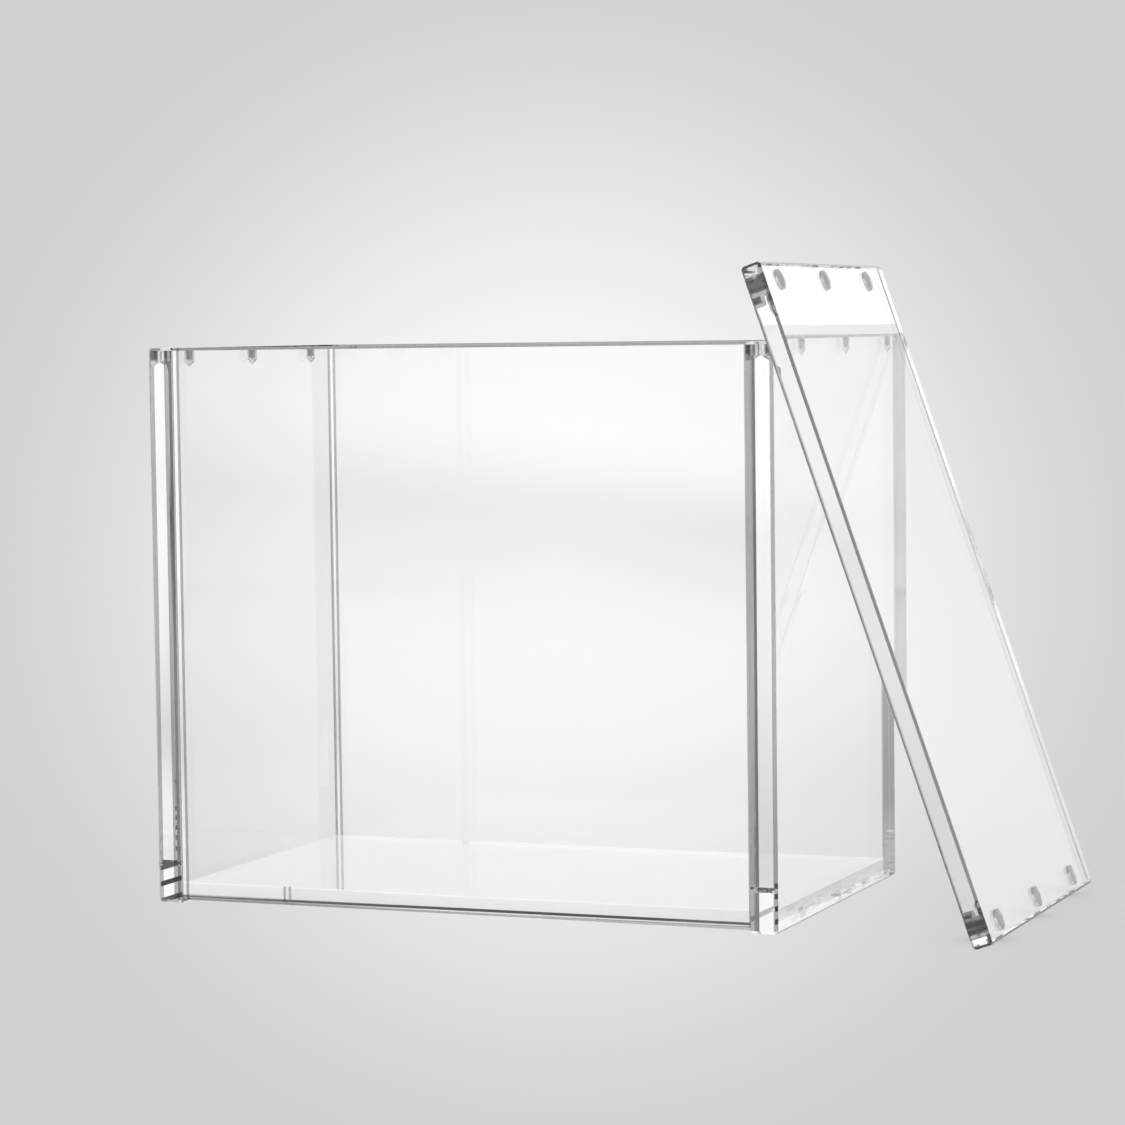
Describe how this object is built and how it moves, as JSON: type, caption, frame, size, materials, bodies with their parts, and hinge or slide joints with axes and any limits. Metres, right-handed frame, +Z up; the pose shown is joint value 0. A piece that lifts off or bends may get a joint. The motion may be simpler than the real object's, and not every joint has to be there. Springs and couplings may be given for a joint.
{
  "type": "acrylic storage box with lid",
  "caption": "Clear rectangular storage case, open at the top, with thick side walls, thinner panels and a separate flat magnetic lid that leans on one side.",
  "frame": {"origin": "middle of the box's underside, on the table", "axes": "+X towards the side that the lid leans on, +Y to the back, +Z up"},
  "size_m": [0.2621, 0.1235, 0.1903],
  "materials": {
    "clear_acrylic": "clear cast sheet with polished edges",
    "magnet": "nickel-plated disc"
  },
  "bodies": {
    "box": {"left_wall": "clear_acrylic", "right_wall": "clear_acrylic", "front_panel": "clear_acrylic", "back_panel": "clear_acrylic", "base_panel": "clear_acrylic", "left_wall_magnet_front": "magnet", "left_wall_magnet_middle": "magnet", "left_wall_magnet_back": "magnet", "right_wall_magnet_front": "magnet", "right_wall_magnet_middle": "magnet", "right_wall_magnet_back": "magnet"},
    "lid": {"lid_plate": "clear_acrylic", "lid_upper_magnet_front": "magnet", "lid_upper_magnet_middle": "magnet", "lid_upper_magnet_back": "magnet", "lid_lower_magnet_front": "magnet", "lid_lower_magnet_middle": "magnet", "lid_lower_magnet_back": "magnet"}
  },
  "joints": [
    {"name": "lid_lift", "type": "slide", "parent": "box", "child": "lid", "axis": [0, 0, 1], "range_m": [0, 0.175]}
  ]
}
